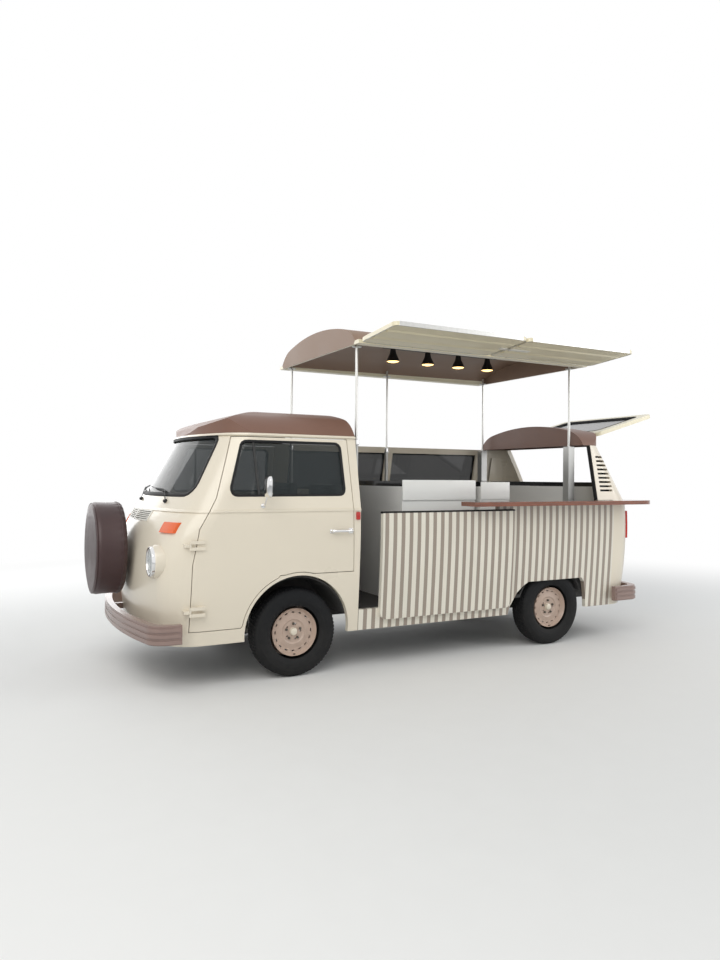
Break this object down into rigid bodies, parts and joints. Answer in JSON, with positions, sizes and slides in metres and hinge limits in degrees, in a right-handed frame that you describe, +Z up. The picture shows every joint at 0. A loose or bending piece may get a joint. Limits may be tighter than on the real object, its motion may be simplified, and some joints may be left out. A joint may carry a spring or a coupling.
{
  "type": "street food van with lifting roof",
  "caption": "Rear-engined forward-control van turned into a street food stall: roof section lifted on poles, two side wings, wooden service shelf, galley, open tailgate.",
  "frame": {"origin": "ground level under the middle of the whole outline", "axes": "+X forward, +Y to the van's left, the serving side, +Z up"},
  "size_m": [5.2133, 2.3515, 2.6548],
  "materials": {
    "cream_paint": "gloss cream enamel",
    "brown_paint": "gloss brown enamel",
    "striped_paint": "cream enamel with brown-grey stripes",
    "bumper_paint": "satin brown enamel",
    "rim_paint": "satin brown enamel",
    "wing_paint": "satin cream enamel",
    "under_paint": "matt underseal and grey floor paint",
    "black_paint": "satin black chassis paint",
    "post_paint": "satin grey-brown paint",
    "black_metal": "matt black powder coat",
    "cabinet_board": "white coated panel",
    "black_worktop": "polished black laminate",
    "white_plastic": "moulded",
    "dash_plastic": "padded grain",
    "amber_plastic": "ribbed lens",
    "cover_vinyl": "smooth brown vinyl",
    "seat_vinyl": "black basket-weave vinyl",
    "cast_metal": "as cast",
    "steel": "brushed",
    "chrome_trim": "bright",
    "shelf_wood": "glossy red-brown varnish",
    "tyre_rubber": "worn black rubber",
    "clear_glass": "clear",
    "tinted_glass": "dark tint",
    "lamp_glass": "clear lens"
  },
  "bodies": {
    "van_body": {"air_grille": "white_plastic", "bumpers": "bumper_paint", "cab_body": "cream_paint", "cab_roof": "brown_paint", "cabinets": "cabinet_board", "dashboard": "dash_plastic", "engine": "cast_metal", "engine_deck": "under_paint", "floor": "under_paint", "front_axle": "black_paint", "headlamps": "lamp_glass", "lamps": "amber_plastic", "left_side": "striped_paint", "rear_axle": "black_paint", "rear_body": "cream_paint", "rear_roof": "brown_paint", "right_side": "cream_paint", "right_windows": "tinted_glass", "roof_posts": "post_paint", "seats": "seat_vinyl", "shelf": "shelf_wood", "sliding_half_door": "striped_paint", "spare_cover": "cover_vinyl", "wheelhouses": "under_paint", "windscreen": "clear_glass", "worktop": "black_worktop"},
    "door_left": {"door_left": "cream_paint", "door_glass_left": "clear_glass", "mirror_left": "chrome_trim"},
    "door_right": {"door_right": "cream_paint", "door_glass_right": "clear_glass", "mirror_right": "chrome_trim"},
    "knuckle_left": {"knuckle_left": "black_paint"},
    "knuckle_right": {"knuckle_right": "black_paint"},
    "wheel_front_left": {"wheel_front_left": "rim_paint", "tyre_front_left": "tyre_rubber"},
    "wheel_front_right": {"wheel_front_right": "rim_paint", "tyre_front_right": "tyre_rubber"},
    "wheel_rear_left": {"wheel_rear_left": "rim_paint", "tyre_rear_left": "tyre_rubber"},
    "wheel_rear_right": {"wheel_rear_right": "rim_paint", "tyre_rear_right": "tyre_rubber"},
    "raised_roof": {"raised_roof": "cream_paint", "roof_poles": "steel", "spot_lamps": "black_metal"},
    "wing_front": {"wing_front": "wing_paint"},
    "wing_rear": {"wing_rear": "wing_paint"},
    "tailgate": {"tailgate": "cream_paint", "tailgate_glass": "tinted_glass"},
    "engine_lid": {"engine_lid": "cream_paint"}
  },
  "joints": [
    {"name": "steer_left", "type": "hinge", "parent": "van_body", "child": "knuckle_left", "pos_m": [1.292, 0.442, 0.32], "axis": [0, 0, 1], "range_deg": [-32, 32]},
    {"name": "steer_right", "type": "hinge", "parent": "van_body", "child": "knuckle_right", "pos_m": [1.292, -0.738, 0.32], "axis": [0, 0, 1], "range_deg": [-32, 32]},
    {"name": "front_left_spin", "type": "hinge", "parent": "knuckle_left", "child": "wheel_front_left", "pos_m": [1.292, 0.5495, 0.32], "axis": [0, 1, 0], "continuous": true},
    {"name": "front_right_spin", "type": "hinge", "parent": "knuckle_right", "child": "wheel_front_right", "pos_m": [1.292, -0.8455, 0.32], "axis": [0, 1, 0], "continuous": true},
    {"name": "rear_left_spin", "type": "hinge", "parent": "van_body", "child": "wheel_rear_left", "pos_m": [-1.108, 0.5695, 0.32], "axis": [0, 1, 0], "continuous": true},
    {"name": "rear_right_spin", "type": "hinge", "parent": "van_body", "child": "wheel_rear_right", "pos_m": [-1.108, -0.8655, 0.32], "axis": [0, 1, 0], "continuous": true},
    {"name": "door_left_hinge", "type": "hinge", "parent": "van_body", "child": "door_left", "pos_m": [2.082, 0.719, 0.75], "axis": [0, 0, -1], "range_deg": [0, 65]},
    {"name": "door_right_hinge", "type": "hinge", "parent": "van_body", "child": "door_right", "pos_m": [2.082, -1.015, 0.75], "axis": [0, 0, 1], "range_deg": [0, 65]},
    {"name": "roof_lift", "type": "slide", "parent": "van_body", "child": "raised_roof", "axis": [0, 0, 1], "range_m": [-0.695, 0]},
    {"name": "wing_front_hinge", "type": "hinge", "parent": "raised_roof", "child": "wing_front", "pos_m": [0.212, 0.672, 2.462], "axis": [1, 0, 0], "range_deg": [-82.5, 0]},
    {"name": "wing_rear_hinge", "type": "hinge", "parent": "raised_roof", "child": "wing_rear", "pos_m": [-0.943, 0.672, 2.462], "axis": [1, 0, 0], "range_deg": [-82.5, 0]},
    {"name": "tailgate_hinge", "type": "hinge", "parent": "van_body", "child": "tailgate", "pos_m": [-1.856, -0.148, 1.864], "axis": [0, 1, 0], "range_deg": [-74, 0]},
    {"name": "engine_lid_hinge", "type": "hinge", "parent": "van_body", "child": "engine_lid", "pos_m": [-2.094, -0.148, 0.878], "axis": [0, 1, 0], "range_deg": [0, 70]}
  ],
  "couplings": [
    {"joint": "steer_right", "follows": "steer_left", "ratio": 1}
  ]
}
